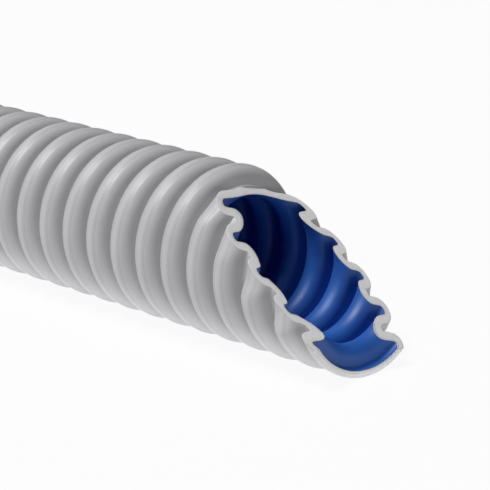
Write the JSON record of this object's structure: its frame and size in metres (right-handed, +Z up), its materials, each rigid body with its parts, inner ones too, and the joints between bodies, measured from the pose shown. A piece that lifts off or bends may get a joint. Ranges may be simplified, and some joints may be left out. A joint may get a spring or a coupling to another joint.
{
  "type": "corrugated conduit",
  "caption": "Straight length of grey ribbed plastic conduit with a bonded blue lining, square at one end and cut on a slant at the other to show the bore.",
  "frame": {"origin": "on the floor, under the middle of the tube's length", "axes": "+X along the tube towards the slanted end, +Z up, and the tongue of the slanted end is at the bottom, turned 12 degrees towards -Y"},
  "size_m": [1, 0.016, 0.016],
  "materials": {
    "grey_wall": "satin light grey moulded plastic, with faint mould lines round the crest of each rib",
    "blue_lining": "smooth low-friction blue plastic skin"
  },
  "bodies": {
    "root": {"outer_wall": "grey_wall", "inner_lining": "blue_lining"}
  },
  "joints": []
}
